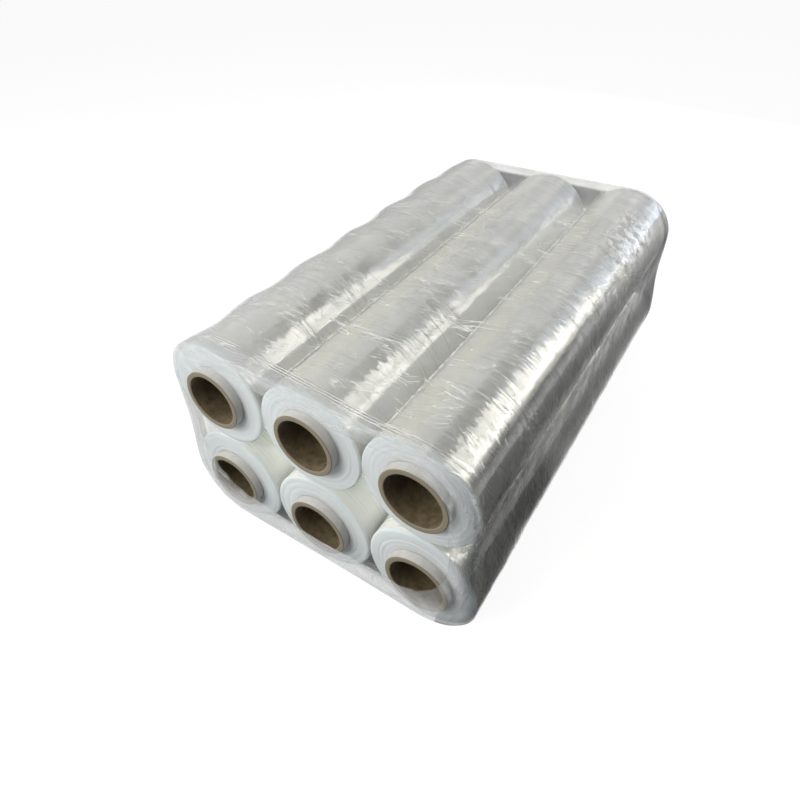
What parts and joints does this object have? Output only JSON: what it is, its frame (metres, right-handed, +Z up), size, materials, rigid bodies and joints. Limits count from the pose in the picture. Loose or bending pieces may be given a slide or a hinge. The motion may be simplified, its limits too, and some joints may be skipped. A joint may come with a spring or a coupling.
{
  "type": "stretch wrap roll pack",
  "caption": "Shipping pack of stretch wrap rolls on cardboard cores, stacked in two rows and bound by a clear film sleeve drawn in over both ends.",
  "frame": {"origin": "middle of the underside of the pack, on the surface that it rests on", "axes": "+Y along the rolls, towards the end with the narrow lip; +Z up through the two rows; +X across the three columns, to the right when the wide front lip is looked at"},
  "size_m": [0.317, 0.5193, 0.2115],
  "materials": {
    "core_board": "spiral wound grey-brown board, matt, with a cut end",
    "wound_film": "clear film wound many turns deep, milky white at its ends",
    "wrap_film": "clear stretched film, glossy, with fine ribs and creases"
  },
  "bodies": {
    "root": {"core_top_left": "core_board", "core_top_middle": "core_board", "core_top_right": "core_board", "core_bottom_left": "core_board", "core_bottom_middle": "core_board", "core_bottom_right": "core_board", "film_top_left": "wound_film", "film_top_middle": "wound_film", "film_top_right": "wound_film", "film_bottom_left": "wound_film", "film_bottom_middle": "wound_film", "film_bottom_right": "wound_film", "outer_wrap": "wrap_film"}
  },
  "joints": []
}
